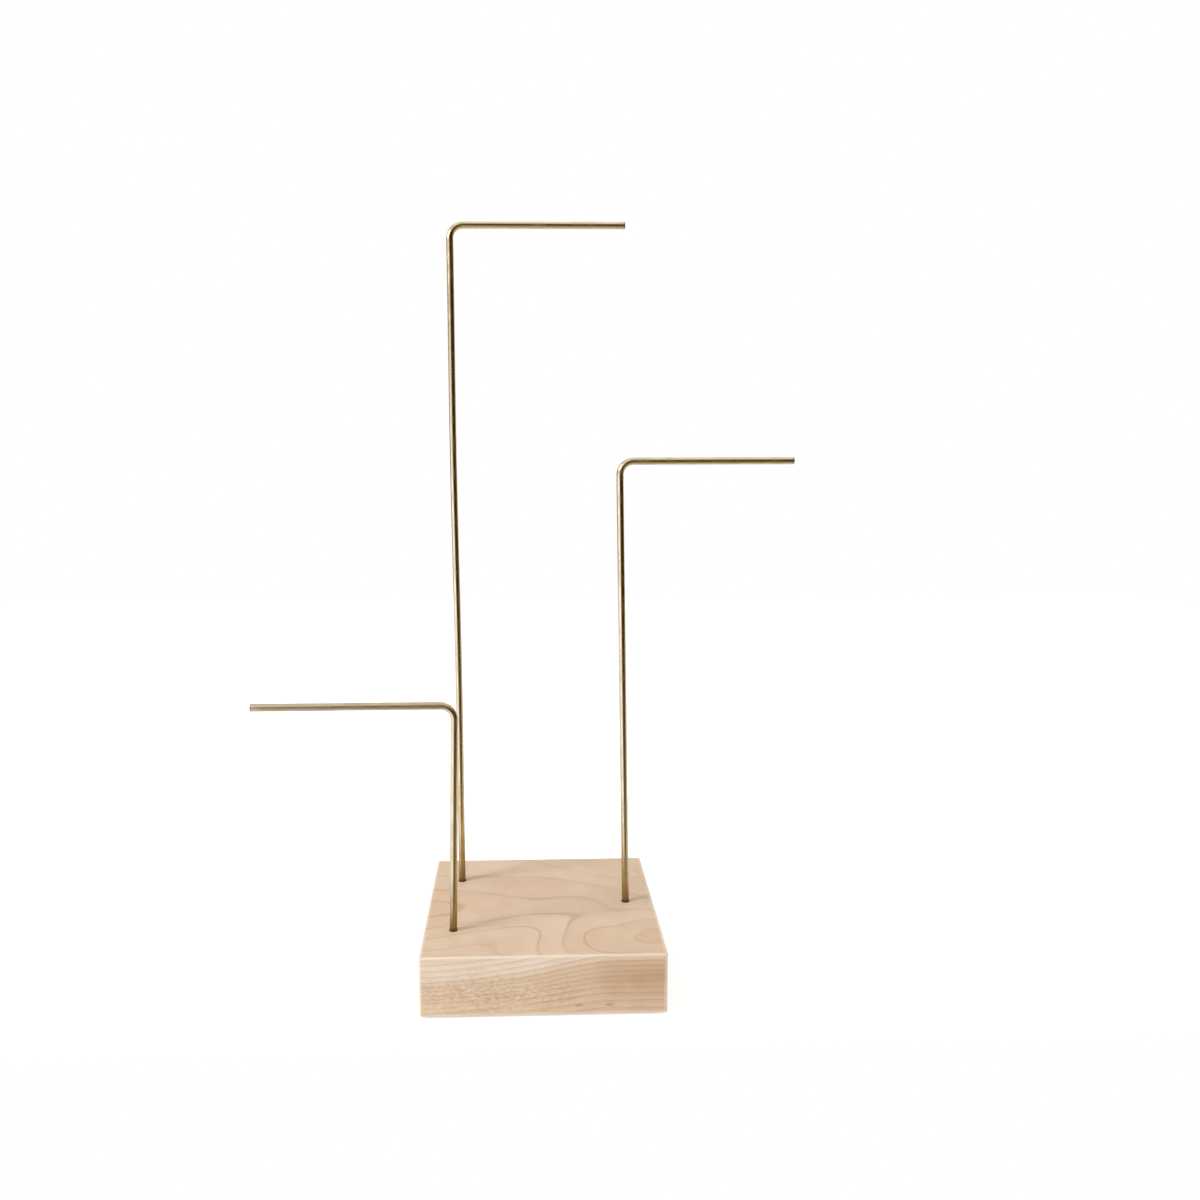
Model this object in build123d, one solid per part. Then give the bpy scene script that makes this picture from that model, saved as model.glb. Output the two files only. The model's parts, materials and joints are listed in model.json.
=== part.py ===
from build123d import *
import os
from math import cos, radians, sin

# Jewellery stand: a solid maple block with three bent brass rods standing in blind holes.
# +Z is up, +X is to the right seen from the front and +Y is away from the viewer. The origin
# is the middle of the block's footprint, on the surface that the stand rests on.
# Lengths are millimetres and angles are degrees.

# Maple block, a 4 x 4 x 1 inch board
BLOCK_WIDTH = 101.6
BLOCK_DEPTH = 101.6
BLOCK_HEIGHT = 25.4
EASED_EDGE = 0.6            # radius along the top and bottom edges
CORNER_EXTRA = 0.3          # how much rounder the four upright corners are

# Felt pad glued under the block
PAD_THICKNESS = 0.8
PAD_INSET = 2.5             # from the block's sides to the pad's sides
PAD_CORNER_RADIUS = 2.0

# Brass rod, 1/8 inch
ROD_DIAMETER = 3.175
BEND_RADIUS = 6.0           # of the rod's centre line
ROD_END_CHAMFER = 0.3

# Blind holes that the rods stand in
HOLE_CLEARANCE = 0.05       # between the rod and the wall, on the radius
HOLE_FLOOR = 6.35           # wood left under each hole
MOUTH_CHAMFER = 0.3

# The three posts stand in rows, front to back
POST_ROW_SPACING = 26.0

# Each rod: the distance of its post from the block's nearer side where it comes out of the
# top face, the height of its arm over that face, the reach of its arm from the bend's corner
# to its tip, and the angle that its hole leans over to the right
TALL_SIDE_DISTANCE = 13.5
TALL_ARM_HEIGHT = 304.2
TALL_ARM_REACH = 78.3
TALL_LEAN = -0.3
MIDDLE_SIDE_DISTANCE = 12.4
MIDDLE_ARM_HEIGHT = 199.6
MIDDLE_ARM_REACH = 76.2
MIDDLE_LEAN = -0.95
LOW_SIDE_DISTANCE = 12.6
LOW_ARM_HEIGHT = 98.4
LOW_ARM_REACH = 84.7
LOW_LEAN = 1.1

LEFT = -1
RIGHT = 1
FRONT_ROW = -1
MIDDLE_ROW = 0
BACK_ROW = 1

ROD_RADIUS = ROD_DIAMETER / 2
HOLE_RADIUS = ROD_RADIUS + HOLE_CLEARANCE
INSERT_DEPTH = BLOCK_HEIGHT - HOLE_FLOOR
BLOCK_TOP = PAD_THICKNESS + BLOCK_HEIGHT


def rod_foot(side, side_distance, row):
    """The point on the block's top face where a post's centre line comes out."""
    post_x = side * (BLOCK_WIDTH / 2 - side_distance)
    return Vector(post_x, row * POST_ROW_SPACING, BLOCK_TOP)


def lean_direction(lean):
    """The unit vector up a post that leans to the right by this angle."""
    return Vector(sin(radians(lean)), 0, cos(radians(lean)))


RODS = {
    "tall_rod": {
        "foot": rod_foot(LEFT, TALL_SIDE_DISTANCE, BACK_ROW),
        "up": lean_direction(TALL_LEAN),
        "arm_height": TALL_ARM_HEIGHT,
        "arm_reach": TALL_ARM_REACH * RIGHT,
    },
    "middle_rod": {
        "foot": rod_foot(RIGHT, MIDDLE_SIDE_DISTANCE, MIDDLE_ROW),
        "up": lean_direction(MIDDLE_LEAN),
        "arm_height": MIDDLE_ARM_HEIGHT,
        "arm_reach": MIDDLE_ARM_REACH * RIGHT,
    },
    "low_rod": {
        "foot": rod_foot(LEFT, LOW_SIDE_DISTANCE, FRONT_ROW),
        "up": lean_direction(LOW_LEAN),
        "arm_height": LOW_ARM_HEIGHT,
        "arm_reach": LOW_ARM_REACH * LEFT,
    },
}


def hole_tool(foot, up):
    """What a drill and a countersink take out of the block for one rod."""
    top = Plane(origin=foot, z_dir=up)
    overshoot = HOLE_RADIUS
    drill = Cylinder(
        HOLE_RADIUS,
        INSERT_DEPTH + overshoot,
        align=(Align.CENTER, Align.CENTER, Align.MIN),
    )
    countersink = Cone(
        HOLE_RADIUS,
        HOLE_RADIUS + 2 * MOUTH_CHAMFER,
        2 * MOUTH_CHAMFER,
    )
    return top * (Pos(0, 0, -INSERT_DEPTH) * drill) + top * countersink


def base_block():
    corner_radius = EASED_EDGE + CORNER_EXTRA
    outline = RectangleRounded(BLOCK_WIDTH, BLOCK_DEPTH, corner_radius)
    block = extrude(Pos(0, 0, PAD_THICKNESS) * outline, BLOCK_HEIGHT)
    rims = block.faces().sort_by(Axis.Z)
    block = fillet(rims[0].edges() + rims[-1].edges(), EASED_EDGE)
    for rod in RODS.values():
        block -= hole_tool(rod["foot"], rod["up"])
    return block


def base_pad():
    outline = RectangleRounded(
        BLOCK_WIDTH - 2 * PAD_INSET,
        BLOCK_DEPTH - 2 * PAD_INSET,
        PAD_CORNER_RADIUS,
    )
    return extrude(outline, PAD_THICKNESS)


def bent_rod(foot, up, arm_height, arm_reach):
    """A rod from its hole's floor up the post, round the bend and out to the arm's tip."""
    bottom = foot - up * INSERT_DEPTH
    corner = foot + up * (arm_height / up.Z)
    tip = corner + Vector(arm_reach, 0, 0)
    centre_line = FilletPolyline(bottom, corner, tip, radius=BEND_RADIUS)
    section = Plane(origin=bottom, z_dir=up) * Circle(ROD_RADIUS)
    rod = sweep(section, path=centre_line)
    end_faces = rod.faces().filter_by(GeomType.PLANE)
    return chamfer(end_faces.edges(), ROD_END_CHAMFER)


def main():
    nodes = {"base_block": base_block(), "base_pad": base_pad()}
    for name, rod in RODS.items():
        nodes[name] = bent_rod(**rod)
    os.makedirs("parts", exist_ok=True)
    for name, shape in nodes.items():
        export_step(shape, f"parts/{name}.step")
        print(f"{name}: {shape.volume:.1f} mm3")


if __name__ == "__main__":
    main()
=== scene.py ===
import json
from math import cos, pi, radians, sin, tan

import bmesh
import bpy
from bpy.props import FloatProperty, FloatVectorProperty, IntProperty, PointerProperty
from mathutils import Matrix, Vector, noise


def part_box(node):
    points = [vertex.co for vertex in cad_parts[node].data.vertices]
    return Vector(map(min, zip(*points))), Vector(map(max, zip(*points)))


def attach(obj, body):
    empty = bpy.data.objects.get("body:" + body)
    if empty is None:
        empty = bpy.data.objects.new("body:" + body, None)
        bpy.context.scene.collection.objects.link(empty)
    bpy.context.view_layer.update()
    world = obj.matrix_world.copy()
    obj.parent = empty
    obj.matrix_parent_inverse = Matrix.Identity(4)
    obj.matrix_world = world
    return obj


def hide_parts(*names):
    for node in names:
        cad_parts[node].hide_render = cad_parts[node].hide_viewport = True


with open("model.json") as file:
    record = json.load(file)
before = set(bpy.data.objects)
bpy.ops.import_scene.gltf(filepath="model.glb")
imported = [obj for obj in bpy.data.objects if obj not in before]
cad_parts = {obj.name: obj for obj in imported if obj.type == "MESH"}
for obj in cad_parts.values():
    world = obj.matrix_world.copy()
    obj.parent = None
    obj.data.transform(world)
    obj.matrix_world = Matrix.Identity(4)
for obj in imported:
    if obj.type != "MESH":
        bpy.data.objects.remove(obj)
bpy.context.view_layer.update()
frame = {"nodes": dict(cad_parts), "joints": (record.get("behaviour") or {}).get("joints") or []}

# Jewellery stand: a solid maple block on a felt pad, with three bent brass rods standing in it.
# The frame holds the block and the rods. This script gives them their finishes, remakes the
# rods and the felt as finer pieces, and sets the studio round them.
# Lengths are metres, as in the frame, apart from the maple's figure, which is in millimetres.

bl_info = {
    "name": "Jewellery stand",
    "version": (1, 0, 0),
    "blender": (4, 5, 0),
    "location": "View3D > Sidebar > Stand",
    "description": "A maple and brass jewellery stand with its finishes and a studio",
    "category": "Object",
}

MM = 0.001
BLOCK = "base_block"
PAD = "base_pad"
RODS = ("tall_rod", "middle_rod", "low_rod")

block_low, block_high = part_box(BLOCK)


# Helpers for shader nodes

def linear(red, green, blue):
    """A colour as a screen shows it, 0 to 255, as the linear light that shaders take."""
    channels = []
    for value in (red, green, blue):
        share = value / 255
        if share <= 0.04045:
            channels.append(share / 12.92)
        else:
            channels.append(((share + 0.055) / 1.055) ** 2.4)
    return tuple(channels)


class Number:
    """A number that changes over a surface. Arithmetic on it adds Math nodes to its tree."""

    def __init__(self, tree, socket):
        self.tree = tree
        self.socket = socket

    def math(self, operation, *others, first=None):
        """What a Math node makes of this number and others, or of a first one and this."""
        node = self.tree.nodes.new("ShaderNodeMath")
        node.operation = operation
        values = (self, *others) if first is None else (first, self)
        for socket, value in zip(node.inputs, values):
            plug(self.tree, value, socket)
        return Number(self.tree, node.outputs[0])

    def __add__(self, other):
        return self.math("ADD", other)

    def __radd__(self, other):
        return self.math("ADD", other)

    def __sub__(self, other):
        return self.math("SUBTRACT", other)

    def __rsub__(self, other):
        return self.math("SUBTRACT", first=other)

    def __mul__(self, other):
        return self.math("MULTIPLY", other)

    def __rmul__(self, other):
        return self.math("MULTIPLY", other)

    def __truediv__(self, other):
        return self.math("DIVIDE", other)

    def __rtruediv__(self, other):
        return self.math("DIVIDE", first=other)

    def __neg__(self):
        return self.math("MULTIPLY", -1.0)

    def __abs__(self):
        return self.math("ABSOLUTE")

    def __pow__(self, other):
        return self.math("POWER", other)

    def exp(self):
        return self.math("EXPONENT")

    def least(self, other):
        return self.math("MINIMUM", other)

    def most(self, other):
        return self.math("MAXIMUM", other)

    def fraction(self):
        return self.math("FRACT")

    def whole(self):
        return self.math("FLOOR")

    def step(self, start, end, low=0.0, high=1.0):
        """Goes smoothly from low at start to high at end, and stays level beyond them."""
        node = self.tree.nodes.new("ShaderNodeMapRange")
        node.interpolation_type = "SMOOTHSTEP"
        for socket, value in zip(node.inputs, (self, start, end, low, high)):
            plug(self.tree, value, socket)
        return Number(self.tree, node.outputs[0])


def plug(tree, value, socket):
    """Links a socket to another, or sets it where the value is plain."""
    if isinstance(value, Number):
        value = value.socket
    if isinstance(value, bpy.types.NodeSocket):
        tree.links.new(value, socket)
    elif hasattr(socket.default_value, "__len__") and hasattr(value, "__len__"):
        size = len(socket.default_value)
        socket.default_value = (*value, 1.0)[:size]
    else:
        socket.default_value = value


def place(tree, kind, inputs=(), **settings):
    """A new node of a kind, with its settings, and its inputs linked or set."""
    node = tree.nodes.new(kind)
    for name, value in settings.items():
        setattr(node, name, value)
    for name, value in dict(inputs).items():
        plug(tree, value, node.inputs[name])
    return node


def split(tree, vector):
    """The three Numbers of a vector."""
    parts = place(tree, "ShaderNodeSeparateXYZ", {"Vector": vector})
    return [Number(tree, socket) for socket in parts.outputs]


def join(tree, x, y, z):
    """The vector of three numbers."""
    return place(tree, "ShaderNodeCombineXYZ", {"X": x, "Y": y, "Z": z}).outputs[0]


def scaled(tree, vector, factor):
    """A vector times one number."""
    node = place(tree, "ShaderNodeVectorMath", operation="SCALE")
    plug(tree, vector, node.inputs[0])
    plug(tree, factor, node.inputs["Scale"])
    return node.outputs[0]


def cloud(tree, vector, detail):
    """Smooth noise, mostly from 0.3 to 0.7."""
    inputs = {
        "Vector": vector,
        "Scale": 1.0,
        "Detail": detail,
        "Roughness": 0.5,
        "Distortion": 0.0,
    }
    return Number(tree, place(tree, "ShaderNodeTexNoise", inputs).outputs[0])


def sized_cloud(tree, coordinates, sizes, detail):
    """Smooth noise with a size of its own along each axis."""
    parts = [coordinate / size for coordinate, size in zip(coordinates, sizes)]
    return cloud(tree, join(tree, *parts), detail=detail)


def blend(tree, share, first, second):
    """A colour that goes from first to second as share goes from 0 to 1."""
    node = place(tree, "ShaderNodeMix", data_type="RGBA", blend_type="MIX")
    node.clamp_factor = True
    plug(tree, share, node.inputs[0])
    plug(tree, first, node.inputs[6])
    plug(tree, second, node.inputs[7])
    return node.outputs[2]


def layered(tree, ground, layers):
    """A ground colour with more colours laid over it, each as (share, colour)."""
    for share, over in layers:
        ground = blend(tree, share, ground, over)
    return ground


def weighted(weights, values):
    """The plain weight, if there is one, and each value times the weight of its name."""
    total = weights.get("plain", 0.0)
    for name, value in values.items():
        total = weights[name] * value + total
    return total


def give_finish(tree, shader, tone, roughness, relief, height):
    """Plugs in a colour, a roughness, and a relief times its height in metres."""
    bump = place(tree, "ShaderNodeBump", {"Height": relief, "Distance": height, "Strength": 1.0})
    plug(tree, tone, shader.inputs["Base Color"])
    plug(tree, roughness, shader.inputs["Roughness"])
    plug(tree, bump.outputs["Normal"], shader.inputs["Normal"])


def new_group(name, defaults, outputs):
    """A node group that takes a vector and numbers, and its sockets as seen from inside it."""
    tree = bpy.data.node_groups.new(name, "ShaderNodeTree")
    sockets = tree.interface
    sockets.new_socket(name="Vector", in_out="INPUT", socket_type="NodeSocketVector")
    for label, default in defaults.items():
        socket = sockets.new_socket(name=label, in_out="INPUT", socket_type="NodeSocketFloat")
        socket.default_value = default
    for label in outputs:
        sockets.new_socket(name=label, in_out="OUTPUT", socket_type="NodeSocketFloat")
    inside = tree.nodes.new("NodeGroupInput").outputs
    given = {socket.name: Number(tree, socket) for socket in inside}
    result = tree.nodes.new("NodeGroupOutput").inputs
    return tree, given, result


def use_group(tree, name, build, inputs):
    """A node of a group, which is built the first time, and the group's outputs by name."""
    if name not in bpy.data.node_groups:
        build(name)
    node = tree.nodes.new("ShaderNodeGroup")
    node.node_tree = bpy.data.node_groups[name]
    for label, value in inputs.items():
        plug(tree, value, node.inputs[label])
    return {socket.name: Number(tree, socket) for socket in node.outputs}


def new_material(name):
    """An empty material, its tree and its Principled BSDF, linked to the output."""
    material = bpy.data.materials.new(name)
    material.use_nodes = True
    tree = material.node_tree
    tree.nodes.clear()
    shader = tree.nodes.new("ShaderNodeBsdfPrincipled")
    output = tree.nodes.new("ShaderNodeOutputMaterial")
    tree.links.new(shader.outputs[0], output.inputs["Surface"])
    return material, tree, shader


def object_millimetres(tree):
    """The place of a point in the frame, in millimetres."""
    place_in_frame = tree.nodes.new("ShaderNodeTexCoord").outputs["Object"]
    return scaled(tree, place_in_frame, 1 / MM)


# Effects that several finishes share

NOISE_SPAN = (0.25, 0.75)           # which the noise seldom leaves
STROKE_SOFTNESS = 0.08              # what the noise gains over a stroke's edge
PATCH_EDGES = (0.42, 0.66)          # of the noise, from outside a patch to inside it
WEAR_REACH = (0.4, 1.2)             # shares of the reach: the least, and what the noise adds
WEAR_FADE = (0.0, 0.8)              # from no wear to full wear, as a share of the reach


def build_strokes(name):
    """Fine strokes that run along X, as wood fibres, drawing lines or hairs do."""
    defaults = {"Length": 8.0, "Width": 0.3, "Cover": 0.4}
    tree, given, result = new_group(name, defaults, ["Tone", "Strokes"])
    x, y, z = split(tree, given["Vector"])
    width = given["Width"]
    tone = sized_cloud(tree, (x, y, z), (given["Length"], width, width), 1.0)
    plug(tree, tone, result["Tone"])
    low, high = NOISE_SPAN
    edge = high - (high - low) * given["Cover"]
    plug(tree, tone.step(edge, edge + STROKE_SOFTNESS), result["Strokes"])


def build_uneven(name):
    """A soft uneven tone, as of handling, dust or tarnish."""
    tree, given, result = new_group(name, {"Size": 20.0, "Shift": 0.0}, ["Tone", "Patches"])
    x, y, z = split(tree, given["Vector"])
    size = given["Size"]
    tone = cloud(tree, join(tree, x / size + given["Shift"], y / size, z / size), detail=3.0)
    plug(tree, tone, result["Tone"])
    plug(tree, tone.step(*PATCH_EDGES), result["Patches"])


def build_edge_wear(name):
    """Wear that fades away from an edge, broken up where the hand missed it. On the maple it also
    stands for a painted highlight along the edges.
    """
    defaults = {"From edge": 0.0, "Reach": 1.0, "Patch size": 6.0}
    tree, given, result = new_group(name, defaults, ["Wear"])
    x, y, z = split(tree, given["Vector"])
    size = given["Patch size"]
    patches = sized_cloud(tree, (x, y, z), (size, size, size), 2.0)
    reach = given["Reach"] * (WEAR_REACH[0] + WEAR_REACH[1] * patches)
    near = 1.0 - given["From edge"] / reach
    plug(tree, near.step(*WEAR_FADE), result["Wear"])


def strokes(tree, vector, length, width, cover):
    inputs = {"Vector": vector, "Length": length, "Width": width, "Cover": cover}
    return use_group(tree, "Fine strokes", build_strokes, inputs)


def uneven(tree, vector, size, shift):
    inputs = {"Vector": vector, "Size": size, "Shift": shift}
    return use_group(tree, "Uneven tone", build_uneven, inputs)


def edge_wear(tree, vector, from_edge, reach, patch_size):
    inputs = {"Vector": vector, "From edge": from_edge, "Reach": reach, "Patch size": patch_size}
    return use_group(tree, "Edge wear", build_edge_wear, inputs)["Wear"]


# Maple: the figure of the wood, in millimetres from the middle of the block's foot.
# One growth ring is followed through the block as a surface that swells and dips under the
# top face. The other rings lie over and under it, so the top face cuts them in broad arches
# and the front face in close lines.

TOP = block_high.z / MM
RING_DEPTH = 12.2           # of that ring under the middle of the top face
RING_SLOPE = 0.015          # what its depth gains for each millimetre to the right
SWELLS = {
    "arch at the front left": {"rise": 18, "x": -38, "y": -68, "long": 28, "short": 9, "turn": -8},
    "hollow at the right": {"rise": -8, "x": 28, "y": -33, "long": 21, "short": 18, "turn": -70},
    "valley at the left": {"rise": -6.5, "x": -50, "y": -5, "long": 53, "short": 20, "turn": 0},
    "saddle in the middle": {"rise": -0.5, "x": 10, "y": -6, "long": 12, "short": 6, "turn": 0},
    "ridge before it": {"rise": 3.5, "x": 4, "y": -25, "long": 43, "short": 11, "turn": 21},
    "ridge at the back": {"rise": 6, "x": 9, "y": 64, "long": 50, "short": 13, "turn": -48},
    "ridge at the right": {"rise": 1.2, "x": 31, "y": -20, "long": 41, "short": 9, "turn": -32},
    "curl at the right": {"rise": -6, "x": 51, "y": -32, "long": 17, "short": 9, "turn": -82},
}
FOLLOWED_RING = -3          # its number, where ring 0 is the last to meet the top on the right
RING_THICKNESS = 2.55       # of one year's growth
GOOD_YEARS = {"every": 24.0, "gain": 0.85}  # growth was quicker and slower in turns
CROWDED_LEFT = {"from": 5.0, "wide": 12.0, "thinner": 0.2}      # the rings lie closer there
LINE_WIDTH = 0.085          # of a ring line, as a share of its ring
FAINT_PLACES = {            # where the ring lines nearly fade out
    "merging lines": {"x": 22.0, "y": -4.0, "wide": 9.0, "deep": 6.0},
    "back right corner": {"x": 40.0, "y": 38.0, "wide": 22.0, "deep": 18.0},
    "curl at the right": {"x": 44.0, "y": -31.0, "wide": 6.0, "deep": 8.0},
}
FAINTNESS = 0.7             # how much of a line is gone there
LINE_NOISE = (7.31, 60.0, 40.0)     # how far apart the rings are in it, and its two sizes
YEAR_NOISE = (3.7, 80.0, 50.0)
LINE_STRENGTH = (0.3, 0.7, 0.4, 1.0)        # two values of the noise, and what they give
LATE_WOOD = ((0.3, 1.0), (1.0, 0.96))       # where in a ring it sets in, and where it stops
STRAYING = {"sizes": (22.0, 12.0, 8.0), "reach": 0.6}
RIPPLE = {"sizes": (1.7, 2.2, 1.5), "reach": 0.06, "more": 1.1}
RIPPLED = {"left": (5.0, -35.0), "down": (6.0, 16.0)}       # where there is more of it

# A face is upright at the front and back, and an end at the left and right. Each pair says
# how far its normal points that way where this starts to count and where it counts fully.
UPRIGHT = (0.5, 0.9)
ENDS = (0.6, 0.95)

CHATTER = {"x": -24.0, "z": 10.5, "wide": 25.0, "high": 6.0}
CHATTER_STRETCH = {"back": 3.0, "ring": 2.2, "ripple": 1.6}
LIGHT_DASHES = (0.45, 0.3)          # values of the noise, as are the warm pairs and RAY_EDGES
FLECKS = ((14.1, -50.8, 4.7), (26.8, -50.8, 4.7))
FLECK_SIZE = (1.3, 2.0, 0.35)
CREAM_RINGS = (-1.4, 0.7)           # ring numbers
# Partly painted light: the front and back faces are paler towards the left
PALE_AND_LIT_FRONT = {"share": 0.12, "more": 0.22, "left": (30.0, -50.0)}
WARM_BACK = (-25.0, 40.0)
WARM_ZONES = (0.35, 0.68)
WARM_YEARS = (0.3, 0.7)
# Partly painted shade: on the front and back faces the tan zone darkens them towards the right
HEART_AND_SHADE = {"ring": -4.6, "wide": 2.8, "right": (-5.0, 50.0), "down": (-3.0, 9.0)}
LINE_SHARE = 0.48
LINE_SHARE_UPRIGHT = (-35.0, 15.0, -0.2, 0.35)      # two places, and what is added at each
RAY_SIZES = (4.0, 0.22, 5.0)
RAY_EDGES = (0.5, 0.72)

# The share of each tone where it is at its strongest, and what the upright faces add to some
MAPLE_SHARES = {
    "cream": 0.2, "warm zones": 0.3, "warm back": 0.2, "warm years": 0.25, "heart_and_shade": 0.1128,
    "late wood": 0.1, "fibres": 0.08, "pores": 0.1, "dashes": 0.4, "light dashes": 0.35,
    # worn is partly wear and partly a painted highlight along the edges
    "handled": 0.12, "ends": 0.34, "rays": 0.25, "flecks": 0.5, "worn": 0.7,
}
# On the upright faces the extra cream and tan are partly painted light and shade
MORE_UPRIGHT = {"cream": 0.8, "heart_and_shade": 0.705, "late wood": 0.14, "fibres": 0.06}
MAPLE_ROUGHNESS = {"plain": 0.58, "worn": -0.1, "handled": 0.12, "ends": 0.1, "lines": 0.06}
MAPLE_RELIEF = {"fibres": 0.5, "pores": -0.35, "lines": -0.3, "rays": 0.3, "dashes": -0.6}
MAPLE_RELIEF_HEIGHT = 0.03 * MM


def bell(*distances):
    """1 in the middle and 0 far away, where a distance of 1 is the bell's half width."""
    total = distances[0] * distances[0]
    for distance in distances[1:]:
        total = total + distance * distance
    return (total * -0.5).exp()


def swell(x, y, shape):
    """How far one swell lifts the followed ring away from the top face."""
    turn = radians(shape["turn"])
    right = x - shape["x"]
    back = y - shape["y"]
    along = (right * cos(turn) + back * sin(turn)) / shape["long"]
    across = (back * cos(turn) - right * sin(turn)) / shape["short"]
    return shape["rise"] * bell(along, across)


def ring_number(x, y, z, wander):
    """The number of the growth ring at a point. The ring lines are the whole numbers."""
    depth = RING_DEPTH + RING_SLOPE * x
    for shape in SWELLS.values():
        depth = depth + swell(x, y, shape)
    over_ring = z - TOP + depth + wander
    right_side = 1.0 / (1.0 + ((CROWDED_LEFT["from"] - x) / CROWDED_LEFT["wide"]).exp())
    over_ring = over_ring / (1.0 - CROWDED_LEFT["thinner"] * (1.0 - right_side))
    surge = GOOD_YEARS["gain"] * (over_ring * (2 * pi / GOOD_YEARS["every"])).math("SINE")
    return (over_ring + surge) / RING_THICKNESS + FOLLOWED_RING


def maple_rings(tree, x, y, z):
    """The growth rings at a point: their number, their lines and how each year differs."""

    def own_tone(number, apart, wide, deep):
        """A tone that each ring has of its own, and that changes slowly along it."""
        return cloud(tree, join(tree, number.whole() * apart, x / wide, y / deep), 0.0)

    # The rings stray a little everywhere, and ripple closely in the left part of the front
    straying = sized_cloud(tree, (x, y, z), STRAYING["sizes"], 1.0) - 0.5
    ripple = sized_cloud(tree, (x, y, z), RIPPLE["sizes"], 1.0) - 0.5
    rippled = x.step(*RIPPLED["left"]) * (TOP - z).step(*RIPPLED["down"])
    reach = RIPPLE["reach"] + RIPPLE["more"] * rippled
    ring = ring_number(x, y, z, STRAYING["reach"] * straying + reach * ripple)
    phase = ring.fraction()

    # The dark line is where one year's growth stops, and the wood darkens towards it
    to_line = (0.5 - abs(phase - 0.5)) / LINE_WIDTH
    line = (1.0 - to_line.least(1.0)).step(0.0, 1.0)
    faint = 0.0
    for spot in FAINT_PLACES.values():
        faint = bell((x - spot["x"]) / spot["wide"], (y - spot["y"]) / spot["deep"]) + faint
    line_tone = own_tone(ring + 0.5, *LINE_NOISE)
    strength = line_tone.step(*LINE_STRENGTH) * (1.0 - FAINTNESS * faint.least(1.0))
    sets_in, stops = LATE_WOOD
    return {
        "number": ring,
        "ripple": ripple,
        "line": line,
        "strength": strength,
        "late wood": phase.step(*sets_in) * phase.step(*stops),
        "year": own_tone(ring, *YEAR_NOISE),
    }


def to_block_edge(x, y, z):
    """How far a point on one of the block's faces is from the nearest edge."""
    half_width = (block_high.x - block_low.x) / 2 / MM
    half_depth = (block_high.y - block_low.y) / 2 / MM
    middle = (block_high.z + block_low.z) / 2 / MM
    half_height = (block_high.z - block_low.z) / 2 / MM
    gaps = [half_width - abs(x), half_depth - abs(y), half_height - abs(z - middle)]
    # The smallest gap is to the face itself, so the one after it is to the edge
    nearest = gaps[0].least(gaps[1]).least(gaps[2])
    widest = gaps[0].most(gaps[1]).most(gaps[2])
    return gaps[0] + gaps[1] + gaps[2] - nearest - widest


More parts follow.
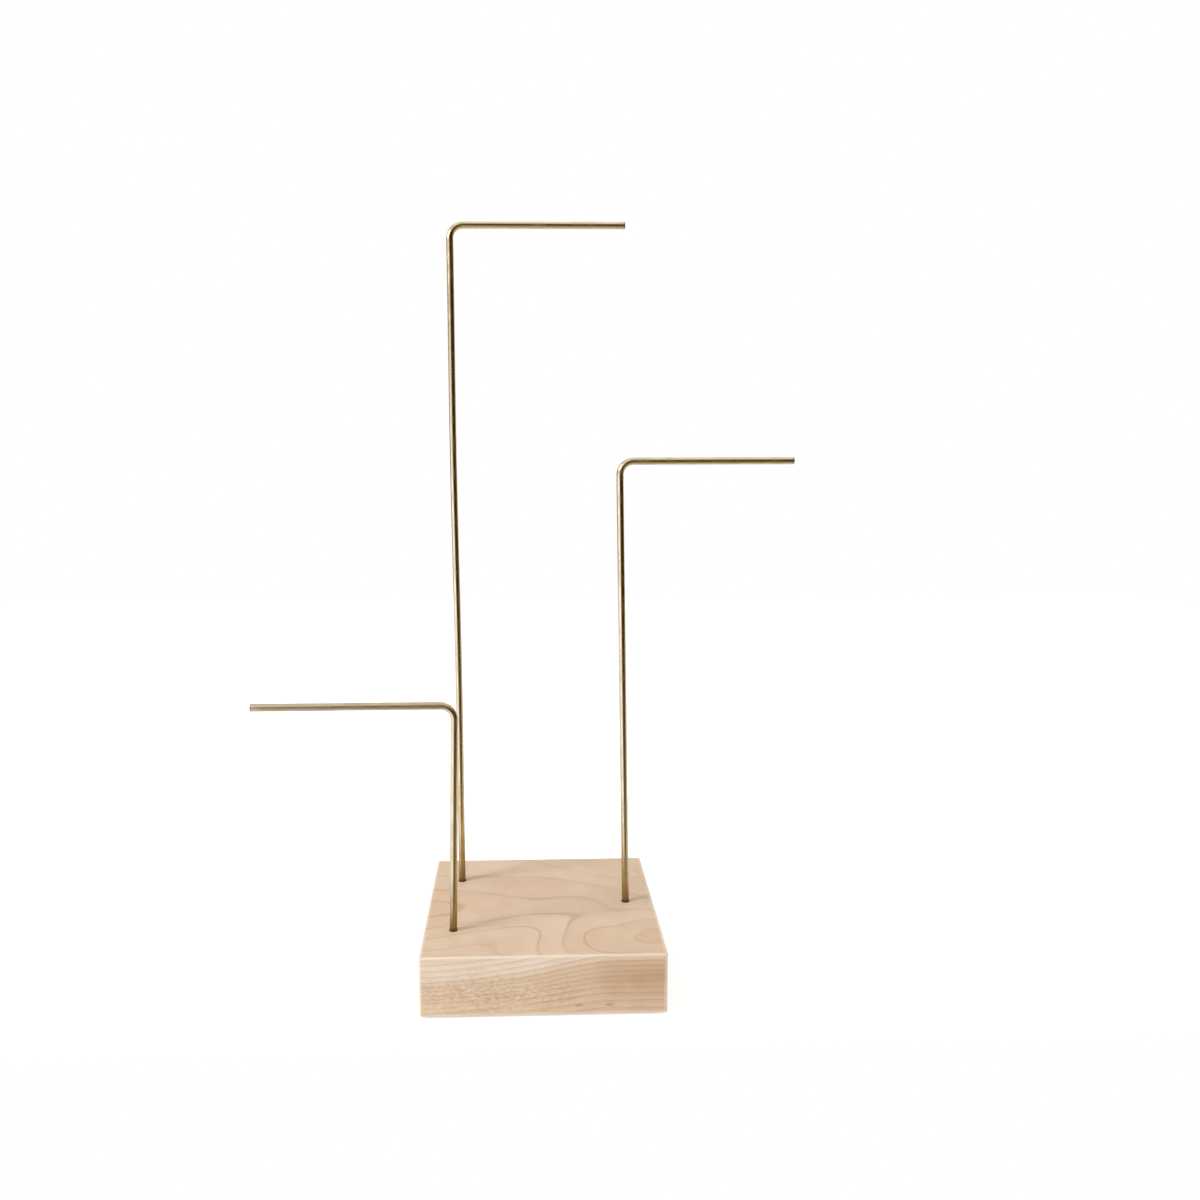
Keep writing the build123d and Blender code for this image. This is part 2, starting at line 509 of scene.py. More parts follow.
def maple_material(look):
    """Oiled flat-sawn maple: growth rings, fibres, pores, end grain and softened edges, with
    painted light: paler edges, and upright faces lighter to the left and darker to the right.
    """
    material, tree, shader = new_material("Oiled maple")
    point = object_millimetres(tree)
    x, y, z = split(tree, point)
    facing = split(tree, tree.nodes.new("ShaderNodeTexCoord").outputs["Normal"])
    upright = abs(facing[1]).step(*UPRIGHT)
    end_grain = abs(facing[0]).step(*ENDS)

    def share(name):
        """How much of a tone there is where it is at its strongest."""
        if name in MORE_UPRIGHT:
            return MAPLE_SHARES[name] + MORE_UPRIGHT[name] * upright
        return MAPLE_SHARES[name]

    rings = maple_rings(tree, x, y, z)
    fibres = strokes(tree, point, length=11.0, width=0.42, cover=0.34)
    pores = strokes(tree, point, length=1.6, width=0.16, cover=0.3)
    broad = uneven(tree, point, size=34.0, shift=3.7)
    handled = uneven(tree, point, size=13.0, shift=9.1)
    # Paler edges: partly wear, partly a painted highlight where the softened edges catch the light
    wear = edge_wear(tree, point, to_block_edge(x, y, z), reach=1.5, patch_size=16.0)

    # A planer's chatter: short dashes that follow the rings, in the left part of the front
    followed = (rings["number"] * CHATTER_STRETCH["ring"]
                + CHATTER_STRETCH["ripple"] * rings["ripple"])
    laid_along = join(tree, x, y / CHATTER_STRETCH["back"], followed)
    chatter = strokes(tree, laid_along, length=2.0, width=0.6, cover=0.46)
    chattered = upright * bell((x - CHATTER["x"]) / CHATTER["wide"],
                               (z - CHATTER["z"]) / CHATTER["high"])
    dashes = chatter["Strokes"] * chattered

    # The young wood over ring 0 is creamier than the rest, and the heartwood side is tan. On the
    # front and back faces the extra cream, the paler left and the tan right are partly the wood's
    # own colour and partly painted light and shade, lighter towards the window on the left.
    cream = rings["number"].step(*CREAM_RINGS)
    pale = PALE_AND_LIT_FRONT["share"] + PALE_AND_LIT_FRONT["more"] * x.step(*PALE_AND_LIT_FRONT["left"])
    heart_and_shade = bell((rings["number"] - HEART_AND_SHADE["ring"]) / HEART_AND_SHADE["wide"])
    heart_and_shade = heart_and_shade * x.step(*HEART_AND_SHADE["right"]) * (TOP - z).step(*HEART_AND_SHADE["down"])
    line_share = LINE_SHARE + upright * x.step(*LINE_SHARE_UPRIGHT)
    # The ends show the cut fibres: darker, with rays across the rings
    rays = sized_cloud(tree, (x, y, z), RAY_SIZES, 1.0)
    flecks = 0.0
    for middle in FLECKS:
        away = [(at - centre) / size for at, centre, size in zip((x, y, z), middle, FLECK_SIZE)]
        flecks = bell(*away) + flecks

    tone = layered(tree, look.maple, (
        (cream * share("cream"), look.maple_cream),
        # Partly painted light on the left of the front and back faces
        (pale * upright, look.maple_cream),
        (broad["Tone"].step(*WARM_ZONES) * share("warm zones"), look.maple_warm),
        (y.step(*WARM_BACK) * (1.0 - upright) * share("warm back"), look.maple_warm),
        (rings["year"].step(*WARM_YEARS) * share("warm years"), look.maple_warm),
        # Partly painted shade on the right of the front and back faces
        (heart_and_shade * share("heart_and_shade"), look.maple_heart_and_shade),
        (rings["late wood"] * share("late wood"), look.maple_line),
        (rings["line"] * rings["strength"] * line_share, look.maple_line),
        (fibres["Strokes"] * share("fibres"), look.maple_line),
        (pores["Strokes"] * share("pores"), look.maple_line),
        (dashes * share("dashes"), look.maple_line),
        (chatter["Tone"].step(*LIGHT_DASHES) * chattered * share("light dashes"),
         look.maple_cream),
        (handled["Patches"] * share("handled"), look.maple_cream),
        (end_grain * share("ends"), look.maple_end),
        (end_grain * rays.step(*RAY_EDGES) * share("rays"), look.maple_line),
        (flecks * share("flecks"), look.maple_fleck),
        # Partly wear and partly a painted highlight along the block's edges
        (wear * share("worn"), look.maple_worn_and_lit_edge),
    ))
    roughness = weighted(MAPLE_ROUGHNESS, {
        "worn": wear,
        "handled": handled["Tone"] - 0.5,
        "ends": end_grain,
        "lines": rings["line"],
    })
    relief = weighted(MAPLE_RELIEF, {
        "fibres": fibres["Tone"],
        "pores": pores["Strokes"],
        "lines": rings["line"],
        "rays": end_grain * rays,
        "dashes": dashes,
    })
    give_finish(tree, shader, tone, roughness, relief, MAPLE_RELIEF_HEIGHT)
    shader.inputs["Specular IOR Level"].default_value = 0.16
    return material


# Brass: drawn rod, bent by hand and left to dull a little. Its marks are in millimetres.

FOOT_SHADE_REACH = 30.0           # how far up from the block a rod is darkened, as painted shade and painted reflection of the wood
RIM_SHADE_REACH = 2.2              # the ring of painted contact shade where a rod goes into the block
TARNISHED_ARMS = {"tall_rod": 0.05, "middle_rod": 0.2, "low_rod": 0.55}
CUT_END = (0.06, 0.01)      # from the rod's side to the cut face at its end
SMEAR_STRETCH = 5.0         # how much longer than wide a smear is
BRASS_SHARES = {            # of each tone where it is at its strongest
    "dull": 0.3, "smeared": 0.2, "rubbed lines": 0.1, "rim": 0.8, "worn ends": 0.7, "cut": 0.5,
}
ARM_SHARE = (0.7, 0.5)      # the least, and what the smears add
FOOT_SHARE = (0.6, 0.3)     # the least, and what the dullness adds
BRASS_ROUGHNESS = {
    "plain": 0.14, "dull": 0.12, "smeared": 0.06, "lines": 0.06, "cut": 0.2, "foot": 0.06,
    "arm": 0.25,
}
BRASS_RELIEF = {"lines": 0.5, "smears": 0.6}
BRASS_RELIEF_HEIGHT = 0.003 * MM


def brass_material(look, name, line, tarnished_arm):
    """Drawn brass rod: drawing lines, tarnish, filed ends, and a darker foot, which is painted
    shade and painted reflection of the wood.
    """
    material, tree, shader = new_material(name)
    straightened = place(tree, "ShaderNodeAttribute", attribute_name="along_rod").outputs["Vector"]
    point = scaled(tree, straightened, 1 / MM)
    across, over, along = split(tree, point)
    lengthwise = join(tree, along, across, over)

    lines = strokes(tree, lengthwise, length=30.0, width=0.3, cover=0.4)
    dull = uneven(tree, lengthwise, size=9.0, shift=1.3)
    shortened = join(tree, along / SMEAR_STRETCH, across, over)
    smear = uneven(tree, shortened, size=2.4, shift=5.9)

    arm = along.step(line.post / MM, (line.post + line.arc) / MM) * tarnished_arm
    over_block = along - line.sunk / MM
    # Painted shade and painted reflection of the wood: the rod is darker towards the block
    foot = over_block.step(FOOT_SHADE_REACH, 0.0)
    to_end = (line.length / MM - along).least(along)
    cut = to_end.step(*CUT_END)
    wear = edge_wear(tree, point, to_end, reach=0.9, patch_size=2.5)
    tone = layered(tree, look.brass, (
        (dull["Patches"] * BRASS_SHARES["dull"], look.brass_dull),
        (smear["Patches"] * BRASS_SHARES["smeared"], look.brass_dull),
        (lines["Strokes"] * BRASS_SHARES["rubbed lines"], look.brass_bright),
        (arm * (ARM_SHARE[0] + ARM_SHARE[1] * smear["Tone"]), look.brass_tarnish),
        # Painted shade and painted reflection of the wood at the foot
        (foot * (FOOT_SHARE[0] + FOOT_SHARE[1] * dull["Tone"]), look.brass_dark_ends_and_foot_shade),
        # Painted contact shade where the rod goes into the block
        (over_block.step(RIM_SHADE_REACH, 0.0) * BRASS_SHARES["rim"], look.brass_rim_shade),
        (wear * BRASS_SHARES["worn ends"], look.brass_dark_ends_and_foot_shade),
        (cut * BRASS_SHARES["cut"], look.brass_dark_ends_and_foot_shade),
    ))
    roughness = weighted(BRASS_ROUGHNESS, {
        "dull": dull["Patches"],
        "smeared": smear["Patches"],
        "lines": lines["Tone"],
        "cut": cut,
        "foot": foot,
        "arm": arm,
    })
    relief = weighted(BRASS_RELIEF, {"lines": lines["Tone"], "smears": smear["Tone"]})
    give_finish(tree, shader, tone, roughness, relief, BRASS_RELIEF_HEIGHT)
    shader.inputs["Metallic"].default_value = 1.0
    return material


# Felt

FELT_SHARES = {"fibres": 0.5, "dust": 0.12}
FELT_ROUGHNESS = {"plain": 0.88, "dust": 0.1}
FELT_RELIEF = {"matting": 0.5, "fibres": 0.3}
FELT_RELIEF_HEIGHT = 0.12 * MM


def felt_material(look):
    """Charcoal wool felt: matted fibres in all directions, pressed flat and a little dusty."""
    material, tree, shader = new_material("Charcoal felt")
    point = object_millimetres(tree)
    x, y, z = split(tree, point)
    one_way = strokes(tree, point, length=2.4, width=0.14, cover=0.45)
    other_way = strokes(tree, join(tree, y, x, z), length=2.0, width=0.12, cover=0.45)
    dust = uneven(tree, point, size=6.0, shift=2.2)
    fibres = one_way["Strokes"].most(other_way["Strokes"])
    tone = layered(tree, look.felt, (
        (fibres * FELT_SHARES["fibres"], look.felt_fibre),
        (dust["Patches"] * FELT_SHARES["dust"], look.felt_fibre),
    ))
    roughness = weighted(FELT_ROUGHNESS, {"dust": dust["Tone"]})
    matting = one_way["Tone"] + other_way["Tone"]
    relief = weighted(FELT_RELIEF, {"matting": matting, "fibres": fibres})
    give_finish(tree, shader, tone, roughness, relief, FELT_RELIEF_HEIGHT)
    shader.inputs["Sheen Weight"].default_value = 0.3
    shader.inputs["Sheen Roughness"].default_value = 0.6
    return material


# Pieces

def new_piece(name, mesh):
    """A new object of a mesh, in the scene."""
    piece = bpy.data.objects.new(name, mesh)
    bpy.context.scene.collection.objects.link(piece)
    return piece


def joint_of(body):
    """The record's joint that turns a body."""
    for joint in frame["joints"]:
        if joint["child"] == body:
            return joint
    raise RuntimeError(f"no joint turns {body}")


class RodLine:
    """One rod's centre line, worked out from its node's box and its joint's axis."""

    def __init__(self, node, bend_radius, bow):
        low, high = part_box(node)
        joint = joint_of(node)
        self.radius = (high.y - low.y) / 2
        self.foot = Vector(joint["pos_m"])
        self.up = Vector(joint["axis"]).normalized()
        self.corner = self.foot + self.up * ((high.z - self.radius - self.foot.z) / self.up.z)
        reaches_right = high.x - self.corner.x > self.corner.x - low.x
        tip_x = high.x if reaches_right else low.x
        self.tip = Vector((tip_x, self.corner.y, self.corner.z))
        self.out = (self.tip - self.corner).normalized()
        sunk = self.radius * abs(self.up.x)
        self.bottom = self.foot - self.up * ((self.foot.z - low.z - sunk) / self.up.z)
        self.turn = self.up.angle(self.out)
        self.bend_radius = bend_radius
        self.tangent = bend_radius * tan(self.turn / 2)
        self.bow = bow
        self.post = (self.corner - self.bottom).length - self.tangent
        self.sunk = (self.foot - self.bottom).length
        self.arc = bend_radius * self.turn
        self.arm = (self.tip - self.corner).length - self.tangent
        self.length = self.post + self.arc + self.arm

    def at(self, distance):
        """The point, the direction and the share of the bend at a distance from the bottom."""
        if distance <= self.post:
            rise = max(0.0, distance - self.sunk) / (self.post - self.sunk)
            sway = self.bow * sin(2 * pi * rise) * sin(pi * rise)
            return self.bottom + self.up * distance + Vector((sway, 0, 0)), self.up, 0.0
        start = self.bottom + self.up * self.post
        inward = (self.out - self.up * self.out.dot(self.up)).normalized()
        if distance < self.post + self.arc:
            angle = (distance - self.post) / self.bend_radius
            turned = self.up * cos(angle) + inward * sin(angle)
            centre = start + inward * self.bend_radius
            point = centre + (self.up * sin(angle) - inward * cos(angle)) * self.bend_radius
            return point, turned, sin(pi * angle / self.turn)
        past = distance - self.post - self.arc
        return self.corner + self.out * (self.tangent + past), self.out, 0.0


END_ROUNDING = 0.3 * MM
END_STEPS = 5
ARM_STEP = 5.0 * MM
BEND_STEPS = 28
BEND_BULGE = 0.4            # the share of its flattening by which a bend grows wider
SHARP_ANGLE = radians(40)   # between faces that meet in a crisp edge
STATION_DIGITS = 7          # of metres, so that stations that coincide count once


def stations(line):
    """Distances along a rod at which it has a ring of points, closer at its ends and bend."""
    spots = [END_ROUNDING, line.length - END_ROUNDING]
    straight = [(END_ROUNDING, line.post), (line.post + line.arc, line.length - END_ROUNDING)]
    for start, end in straight:
        count = max(2, round((end - start) / ARM_STEP))
        spots += [start + (end - start) * step / count for step in range(count + 1)]
    spots += [line.post + line.arc * step / BEND_STEPS for step in range(BEND_STEPS + 1)]
    return sorted(set(round(spot, STATION_DIGITS) for spot in spots))


def rod_profile(line):
    """(distance along the rod, radius) for each ring of points, with both ends rounded over."""
    start = []
    for step in range(END_STEPS):
        angle = pi / 2 * (END_STEPS - step) / END_STEPS
        distance = END_ROUNDING - END_ROUNDING * sin(angle)
        start.append((distance, line.radius - END_ROUNDING * (1 - cos(angle))))
    full = [(distance, line.radius) for distance in stations(line)]
    end = [(line.length - distance, radius) for distance, radius in reversed(start)]
    return start + full + end


def rod_mesh(name, line, sides, flattening):
    """The rod as a tube of rings, with its straightened place kept for the drawing lines."""
    mesh = bmesh.new()
    along_rod = mesh.verts.layers.float_vector.new("along_rod")
    across = Vector((0, 1, 0))
    rings = []
    for distance, radius in rod_profile(line):
        point, direction, bent = line.at(distance)
        outward = across.cross(direction).normalized()
        tall = radius * (1 - flattening * bent)
        wide = radius * (1 + flattening * BEND_BULGE * bent)
        ring = []
        for side in range(sides):
            angle = 2 * pi * side / sides
            offset = outward * (tall * cos(angle)) + across * (wide * sin(angle))
            vert = mesh.verts.new(point + offset)
            vert[along_rod] = Vector((radius * cos(angle), radius * sin(angle), distance))
            ring.append(vert)
        rings.append(ring)
    for lower, upper in zip(rings, rings[1:]):
        for side in range(sides):
            other = (side + 1) % sides
            mesh.faces.new((lower[side], lower[other], upper[other], upper[side]))
    for ring, at_start in ((rings[0], True), (rings[-1], False)):
        end = 0.0 if at_start else line.length
        centre = mesh.verts.new(line.at(end)[0])
        centre[along_rod] = Vector((0, 0, end))
        for side in range(sides):
            other = (side + 1) % sides
            corners = (ring[other], ring[side]) if at_start else (ring[side], ring[other])
            mesh.faces.new((*corners, centre))
    bmesh.ops.recalc_face_normals(mesh, faces=mesh.faces[:])
    data = bpy.data.meshes.new(name)
    mesh.to_mesh(data)
    mesh.free()
    data.shade_smooth()
    data.set_sharp_from_angle(angle=SHARP_ANGLE)
    return data


def rounded_square(half, corner_radius, corner_steps, side_steps):
    """Points round a square with rounded corners, anticlockwise, centred on the origin."""
    points = []
    inner = half - corner_radius
    for quarter in range(4):
        turn = Matrix.Rotation(quarter * pi / 2, 2)
        for step in range(corner_steps + 1):
            angle = pi / 2 * step / corner_steps
            arc = Vector((cos(angle), sin(angle))) * corner_radius
            points.append(turn @ (Vector((inner, inner)) + arc))
        for step in range(1, side_steps):
            share = step / side_steps
            points.append(turn @ Vector((inner - 2 * inner * share, half)))
    return points


# The felt's cut rim, from below: the share of its thickness, and how far in it is
FELT_RIM = ((0.0, 0.12), (0.1, 0.02), (0.35, 0.0), (0.7, 0.0), (0.92, 0.03), (1.0, 0.1))
FELT_RIM_UNIT = 5           # what that is counted in, in thicknesses
FELT_LOOPS = 7
FELT_CORNER = 2.0 * MM
FELT_CORNER_STEPS = 8
FELT_SIDE_STEPS = 60
FELT_WAVES = 120            # of the cut edge, for each metre
FELT_WAVE_LAYER = 0.31      # the height at which the noise is taken


def felt_mesh(name, low, high, unevenness):
    """A felt square cut by hand: a slightly wavy outline, and a rim that is soft and closed."""
    half = (high.x - low.x) / 2
    thickness = high.z - low.z
    outline = rounded_square(half, FELT_CORNER, FELT_CORNER_STEPS, FELT_SIDE_STEPS)
    mesh = bmesh.new()

    def loop(scale, height, inset):
        verts = []
        for point in outline:
            wave = noise.noise(Vector((point.x, point.y, FELT_WAVE_LAYER)) * FELT_WAVES)
            shrink = unevenness * (0.5 + wave) + inset
            flat = point * scale - point.normalized() * shrink * scale
            verts.append(mesh.verts.new((flat.x, flat.y, low.z + height * thickness)))
        return verts

    shrinking = [1 - step / FELT_LOOPS for step in range(1, FELT_LOOPS)]
    loops = [loop(scale, FELT_RIM[0][0], 0.0) for scale in reversed(shrinking)]
    loops += [loop(1.0, height, inset * thickness * FELT_RIM_UNIT) for height, inset in FELT_RIM]
    loops += [loop(scale, FELT_RIM[-1][0], 0.0) for scale in shrinking]
    for lower, upper in zip(loops, loops[1:]):
        for index in range(len(outline)):
            other = (index + 1) % len(outline)
            mesh.faces.new((lower[index], lower[other], upper[other], upper[index]))
    for inner_loop in (loops[0], loops[-1]):
        mesh.faces.new(inner_loop)
    bmesh.ops.recalc_face_normals(mesh, faces=mesh.faces[:])
    data = bpy.data.meshes.new(name)
    mesh.to_mesh(data)
    mesh.free()
    data.shade_smooth()
    return data


# Settings that a user may change

def colour(label, description, default):
    return FloatVectorProperty(
        name=label, description=description, default=default, subtype="COLOR", size=3,
        min=0.0, max=1.0,
    )


class StandSizes(bpy.types.PropertyGroup):
    """Sizes of the pieces that are remade over the frame."""

    rod_sides: IntProperty(
        name="Rod sides", description="Faces round a rod", default=40, min=12, max=96)
    bend_radius: FloatProperty(
        name="Bend radius", description="Radius of a rod's centre line in its bend",
        default=6.0 * MM, min=3.0 * MM, max=20.0 * MM, unit="LENGTH")
    bend_flattening: FloatProperty(
        name="Bend flattening", description="Share of its thickness that a rod loses in its bend",
        default=0.035, min=0.0, max=0.15, subtype="FACTOR")
    post_bow: FloatProperty(
        name="Post bow", description="How far the tall post strays from straight",
        default=0.35 * MM, min=0.0, max=2.0 * MM, unit="LENGTH")
    felt_unevenness: FloatProperty(
        name="Felt unevenness", description="How far the felt's cut edge strays",
        default=0.25 * MM, min=0.0, max=1.0 * MM, unit="LENGTH")


class StandColours(bpy.types.PropertyGroup):
    """Colours of the finishes."""

    maple: colour("Maple", "The wood between its ring lines", linear(225, 197, 166))
    maple_warm: colour("Maple, warm", "Broad warmer zones of the wood", linear(214, 181, 149))
    # Also the painted light on the left of the front and back faces
    maple_cream: colour("Maple, cream", "The palest wood and worn edges", linear(249, 231, 210))
    # Also painted shade on the right of the front and back faces
    maple_heart_and_shade: colour("Maple, heart side", "Tan wood on the right", linear(198, 158, 126))
    # Partly worn wood, partly a painted highlight on the edges
    maple_worn_and_lit_edge: colour("Maple, worn", "Softened edges", linear(248, 230, 208))
    maple_line: colour("Maple lines", "Ring lines, fibres and pores", linear(181, 140, 102))
    maple_end: colour("Maple ends", "Cut fibres at the block's ends", linear(196, 156, 117))
    maple_fleck: colour("Maple flecks", "Small dark flecks", linear(150, 96, 66))
    brass: colour("Brass", "Clean drawn brass", linear(226, 206, 160))
    brass_bright: colour("Brass, bright", "Rubbed and filed brass", linear(238, 224, 184))
    brass_dull: colour("Brass, dull", "Tarnished brass", linear(192, 168, 118))
    brass_tarnish: colour("Brass, tarnished", "Much handled arms", linear(156, 134, 102))
    # Painted shade and painted reflection of the wood at a rod's foot, and also the darker cut ends
    brass_dark_ends_and_foot_shade: colour("Brass, oiled", "Brass darkened by the wood's oil", linear(128, 96, 42))
    # Painted contact shade where a rod goes into the block
    brass_rim_shade: colour("Brass, grimy", "The rim where a rod meets the block", linear(84, 60, 32))
    felt: colour("Felt", "The felt under the block", linear(52, 50, 50))
    felt_fibre: colour("Felt fibres", "Paler fibres in the felt", linear(96, 94, 94))
    floor: colour("Floor", "The studio's floor", linear(243, 243, 243))


class StandStudio(bpy.types.PropertyGroup):
    """Light and camera."""

    key_level: FloatProperty(
        name="Window level", description="What the window adds to a surface that faces it",
        default=0.45, min=0.0, max=3.0)
    fill_level: FloatProperty(
        name="Fill level", description="Even light from all round", default=0.7, min=0.0,
        max=3.0)
    lens: FloatProperty(
        name="Lens", description="The camera's focal length, in millimetres", default=31.03,
        min=10.0, max=200.0)


# Operators

class STAND_OT_block(bpy.types.Operator):
    """Finish the maple block"""

    bl_idname = "stand.block"
    bl_label = "Maple block"

    def execute(self, context):
        block = frame["nodes"][BLOCK]
        material = maple_material(context.scene.stand_colours)
        for slot in block.material_slots:
            slot.material = material
        return {"FINISHED"}


class STAND_OT_rods(bpy.types.Operator):
    """Make the three brass rods over the frame's"""

    bl_idname = "stand.rods"
    bl_label = "Brass rods"

    def execute(self, context):
        sizes = context.scene.stand_sizes
        for node in RODS:
            bow = sizes.post_bow if node == "tall_rod" else 0.0
            line = RodLine(node, sizes.bend_radius, bow)
            name = f"{node}_brass"
            mesh = rod_mesh(name, line, sizes.rod_sides, sizes.bend_flattening)
            mesh.materials.append(
                brass_material(context.scene.stand_colours, f"Drawn brass {node}", line,
                               TARNISHED_ARMS[node]))
            rod = new_piece(name, mesh)
            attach(rod, node)
            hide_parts(node)
        return {"FINISHED"}


class STAND_OT_felt(bpy.types.Operator):
    """Make the felt under the block"""

    bl_idname = "stand.felt"
    bl_label = "Felt pad"

    def execute(self, context):
        low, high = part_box(PAD)
        name = "felt_pad"
        mesh = felt_mesh(name, low, high, context.scene.stand_sizes.felt_unevenness)
        mesh.materials.append(felt_material(context.scene.stand_colours))
        pad = new_piece(name, mesh)
        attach(pad, "base")
        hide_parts(PAD)
        return {"FINISHED"}


# Studio

CAMERA_PLACE = Vector((-7.71, -450.59, 228.93)) * MM
CAMERA_PITCH = radians(6.655)       # downwards
CAMERA_YAW = radians(-1.904)        # to the left, so this camera looks a little to the right
CAMERA_ROLL = radians(0.180)
CAMERA_SHIFT = (0.0365, -0.021)
CAMERA_SENSOR = 36.0
CAMERA_CLIP = (0.01, 20.0)

WINDOW_WAY = (radians(22), radians(38))     # round from the left to the front, and upwards
WINDOW_DISTANCE = 1.2
WINDOW_SIZE = 0.32

FLOOR_FRONT = -0.075        # the floor stops here, so that the metal doesn't mirror it
FLOOR_BACK = 1.2
FLOOR_SIDE = 1.0
FLOOR_GLOW = 0.5
FLOOR_GLOW_IN_METAL = 0.1
FLOOR_MOTTLE = 0.02
FLOOR_MOTTLE_TONE = linear(230, 230, 230)


def aimed_camera(lens):
    """The camera, where the photograph was taken from."""
    right = Vector((cos(CAMERA_YAW), sin(CAMERA_YAW), 0))
    level = Vector((-sin(CAMERA_YAW), cos(CAMERA_YAW), 0))
    ahead = level * cos(CAMERA_PITCH) - Vector((0, 0, sin(CAMERA_PITCH)))
    down = ahead.cross(right)
    rolled_right = right * cos(CAMERA_ROLL) + down * sin(CAMERA_ROLL)
    rolled_down = down * cos(CAMERA_ROLL) - right * sin(CAMERA_ROLL)
    data = bpy.data.cameras.new("Camera")
    data.sensor_width = CAMERA_SENSOR
    data.lens = lens
    data.shift_x, data.shift_y = CAMERA_SHIFT
    data.clip_start, data.clip_end = CAMERA_CLIP
    camera = bpy.data.objects.new("Camera", data)
    turn = Matrix((rolled_right, -rolled_down, -ahead)).transposed()
    camera.matrix_world = Matrix.Translation(CAMERA_PLACE) @ turn.to_4x4()
    return camera


def window_light(level):
    """A large soft window, in front and to the left."""
    around, upwards = WINDOW_WAY
    way = Vector((-cos(around) * cos(upwards), -sin(around) * cos(upwards), sin(upwards)))
    data = bpy.data.lights.new("Window", "AREA")
    data.shape = "SQUARE"
    data.size = WINDOW_SIZE
    # A surface that faces the window gets level times what a white one needs to look white
    data.energy = level * pi * pi * WINDOW_DISTANCE ** 2
    light = bpy.data.objects.new("Window", data)
    target = Vector((0, 0, block_high.z))
    light.location = target + way * WINDOW_DISTANCE
    light.rotation_mode = "QUATERNION"
    light.rotation_quaternion = (-way).to_track_quat("-Z", "Y")
    return light


def floor_material(look):
    """A pale floor. To the eye it glows a little, so that only shadows show."""
    material, tree, shader = new_material("Pale floor")
    point = object_millimetres(tree)
    texture = uneven(tree, point, size=40.0, shift=0.4)
    tone = blend(tree, texture["Tone"] * FLOOR_MOTTLE, look.floor, FLOOR_MOTTLE_TONE)
    plug(tree, tone, shader.inputs["Base Color"])
    shader.inputs["Roughness"].default_value = 0.9
    shader.inputs["Specular IOR Level"].default_value = 0.0
    paths = tree.nodes.new("ShaderNodeLightPath")
    seen = Number(tree, paths.outputs["Is Camera Ray"]).most(
        Number(tree, paths.outputs["Is Transmission Ray"])).most(
        FLOOR_GLOW_IN_METAL * Number(tree, paths.outputs["Is Glossy Ray"]))
    plug(tree, seen * FLOOR_GLOW, shader.inputs["Emission Strength"])
    shader.inputs["Emission Color"].default_value = (1, 1, 1, 1)
    return material


# The room that the metal mirrors. Angles are round the stand, and heights are the upward
# share of a direction, from -1 straight down to 1 straight up.
ROOM_DARK_WAY = radians(46)         # from straight at the viewer, round to the right
ROOM_DARK_HALF = (radians(47), radians(79))
ROOM_BACK_HALF = (radians(20), radians(40))
ROOM_BACK_DARKNESS = 0.7
ROOM_DARK_FROM = (-0.99, -0.85)     # it is bright again straight under the metal
ROOM_DARK_BELOW = (-0.42, -0.2, 0.65, 1.0)
ROOM_DARK_UP_TO = (1.0, 0.15)
ROOM_WINDOW = {"left": (0.3, -0.5), "down": (0.22, 0.0)}
ROOM_OVER_SIDES = {"out": (0.35, 0.7), "up": (-0.02, 0.16)}
ROOM_BRIGHT = (1.12, 1.16, 1.45)
ROOM_WINDOW_SIDE = (1.36, 1.5, 2.25)
ROOM_SIDES = (0.55, 0.53, 0.48)
ROOM_MIDDLE = (0.48, 0.43, 0.29)
ROOM_DARK = (0.045, 0.026, 0.006)
ROOM_TO_MIDDLE = (0.0, 0.45)        # spans of darkness
ROOM_TO_DARK = (0.35, 1.0)
LIGHTER_FRONT = 0.2         # how much more of the even light comes from the viewer's side
LEAST_LEVEL = 0.001         # of a direction, so that nothing is divided by nothing


def studio_world(level):
    """White to the eye, even light on surfaces, and for metal a room with a dark side."""
    world = bpy.data.worlds.new("Studio")
    world.use_nodes = True
    tree = world.node_tree
    tree.nodes.clear()
    x, y, z = split(tree, tree.nodes.new("ShaderNodeTexCoord").outputs["Generated"])
    flat = (x * x + y * y) ** 0.5
    towards = (x * sin(ROOM_DARK_WAY) - y * cos(ROOM_DARK_WAY)) / flat.most(LEAST_LEVEL)
    front_zone = towards.step(cos(ROOM_DARK_HALF[1]), cos(ROOM_DARK_HALF[0]))
    back_zone = (-towards).step(cos(ROOM_BACK_HALF[1]), cos(ROOM_BACK_HALF[0]))
    level_zone = z.step(*ROOM_DARK_FROM) * z.step(*ROOM_DARK_BELOW) * z.step(*ROOM_DARK_UP_TO)
    darkness = level_zone * front_zone.most(ROOM_BACK_DARKNESS * back_zone)
    window = x.step(*ROOM_WINDOW["left"]) * z.step(*ROOM_WINDOW["down"])
    over_sides = abs(x).step(*ROOM_OVER_SIDES["out"]) * z.step(*ROOM_OVER_SIDES["up"])
    room = layered(tree, ROOM_BRIGHT, (
        (window, ROOM_WINDOW_SIDE),
        (over_sides, ROOM_SIDES),
        (darkness.step(*ROOM_TO_MIDDLE), ROOM_MIDDLE),
        (darkness.step(*ROOM_TO_DARK), ROOM_DARK),
    ))
    paths = tree.nodes.new("ShaderNodeLightPath")
    by_eye = Number(tree, paths.outputs["Is Camera Ray"]).most(
        Number(tree, paths.outputs["Is Transmission Ray"]))
    in_metal = Number(tree, paths.outputs["Is Glossy Ray"])
    even = level * (1.0 - LIGHTER_FRONT * y)
    tone = blend(tree, in_metal, join(tree, even, even, even), room)
    tone = blend(tree, by_eye, tone, (1, 1, 1))
    background = tree.nodes.new("ShaderNodeBackground")
    plug(tree, tone, background.inputs["Color"])
    output = tree.nodes.new("ShaderNodeOutputWorld")
    tree.links.new(background.outputs[0], output.inputs["Surface"])
    world.cycles.sampling_method = "NONE"
    return world


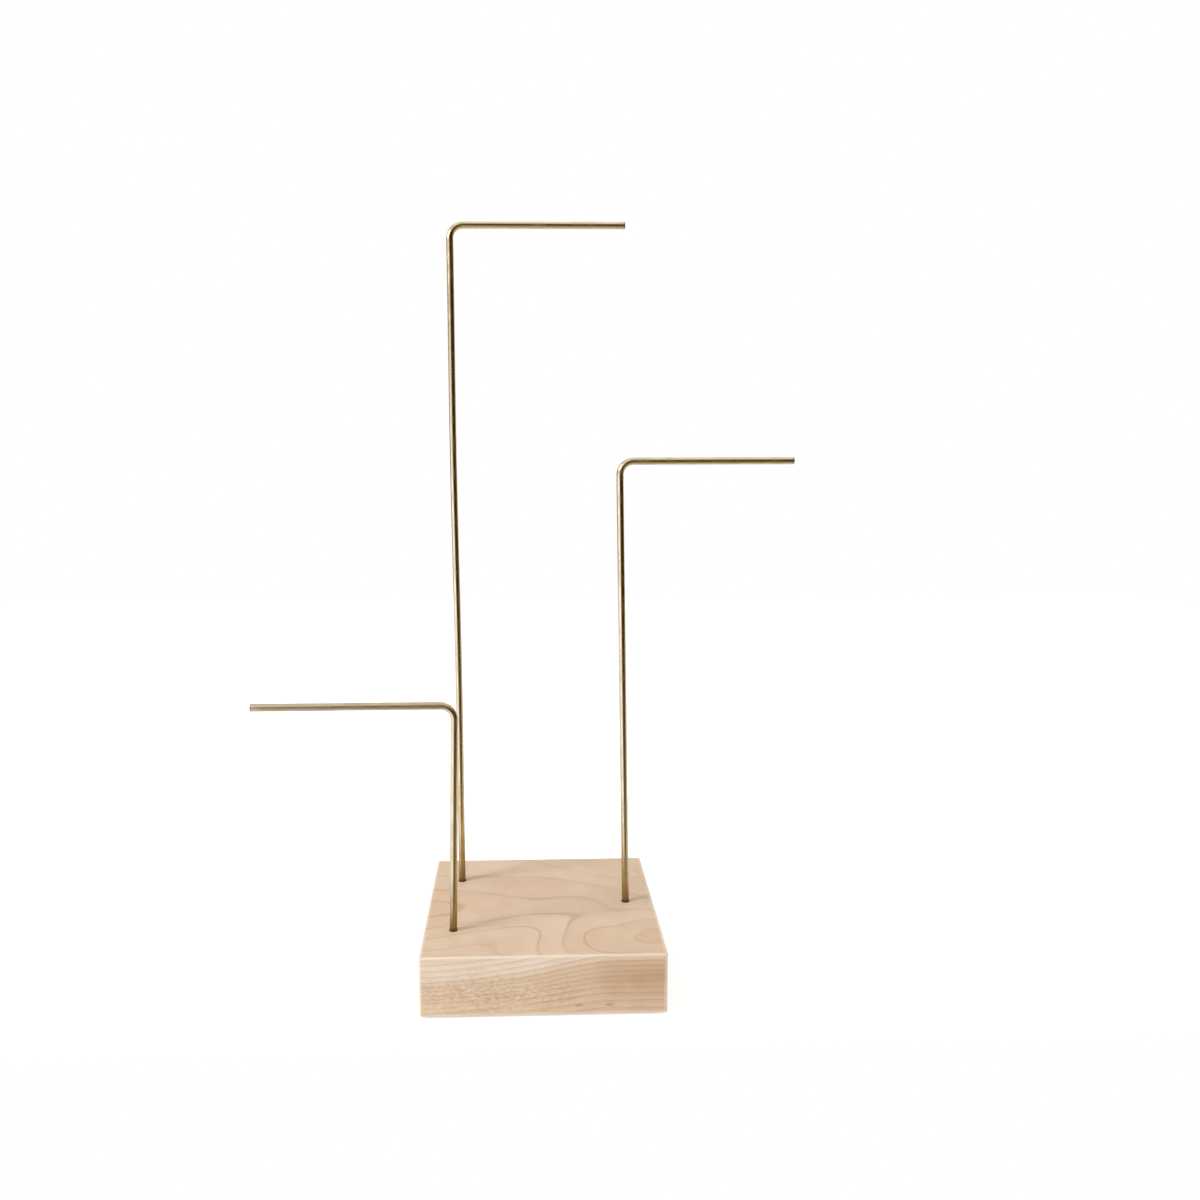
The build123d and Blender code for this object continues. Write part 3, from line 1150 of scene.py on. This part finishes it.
class STAND_OT_studio(bpy.types.Operator):
    """Set up the floor, the light and the camera"""

    bl_idname = "stand.studio"
    bl_label = "Studio"

    def execute(self, context):
        scene = context.scene
        studio = scene.stand_studio
        mesh = bpy.data.meshes.new("floor")
        corners = [
            (-FLOOR_SIDE, FLOOR_FRONT, 0), (FLOOR_SIDE, FLOOR_FRONT, 0),
            (FLOOR_SIDE, FLOOR_BACK, 0), (-FLOOR_SIDE, FLOOR_BACK, 0),
        ]
        mesh.from_pydata(corners, [], [(0, 1, 2, 3)])
        mesh.materials.append(floor_material(scene.stand_colours))
        new_piece("floor", mesh)
        scene.collection.objects.link(window_light(studio.key_level))
        camera = aimed_camera(studio.lens)
        scene.collection.objects.link(camera)
        scene.camera = camera
        scene.world = studio_world(studio.fill_level)
        scene.view_settings.view_transform = "Standard"
        return {"FINISHED"}


class STAND_PT_panel(bpy.types.Panel):
    """The stand's operators and settings"""

    bl_idname = "STAND_PT_panel"
    bl_label = "Jewellery stand"
    bl_space_type = "VIEW_3D"
    bl_region_type = "UI"
    bl_category = "Stand"

    def draw(self, context):
        layout = self.layout
        for step in STEPS:
            layout.operator(step.bl_idname)
        for group in ("stand_sizes", "stand_colours", "stand_studio"):
            settings = getattr(context.scene, group)
            box = layout.box()
            for name in settings.__annotations__:
                box.prop(settings, name)


STEPS = (STAND_OT_block, STAND_OT_rods, STAND_OT_felt, STAND_OT_studio)
SETTINGS = (StandSizes, StandColours, StandStudio)


def register():
    for part in (*SETTINGS, *STEPS, STAND_PT_panel):
        bpy.utils.register_class(part)
    bpy.types.Scene.stand_sizes = PointerProperty(type=StandSizes)
    bpy.types.Scene.stand_colours = PointerProperty(type=StandColours)
    bpy.types.Scene.stand_studio = PointerProperty(type=StandStudio)


def unregister():
    del bpy.types.Scene.stand_studio
    del bpy.types.Scene.stand_colours
    del bpy.types.Scene.stand_sizes
    for part in reversed((*SETTINGS, *STEPS, STAND_PT_panel)):
        bpy.utils.unregister_class(part)


def main():
    register()
    bpy.ops.stand.block()
    bpy.ops.stand.rods()
    bpy.ops.stand.felt()
    bpy.ops.stand.studio()


if __name__ == "__main__":
    main()
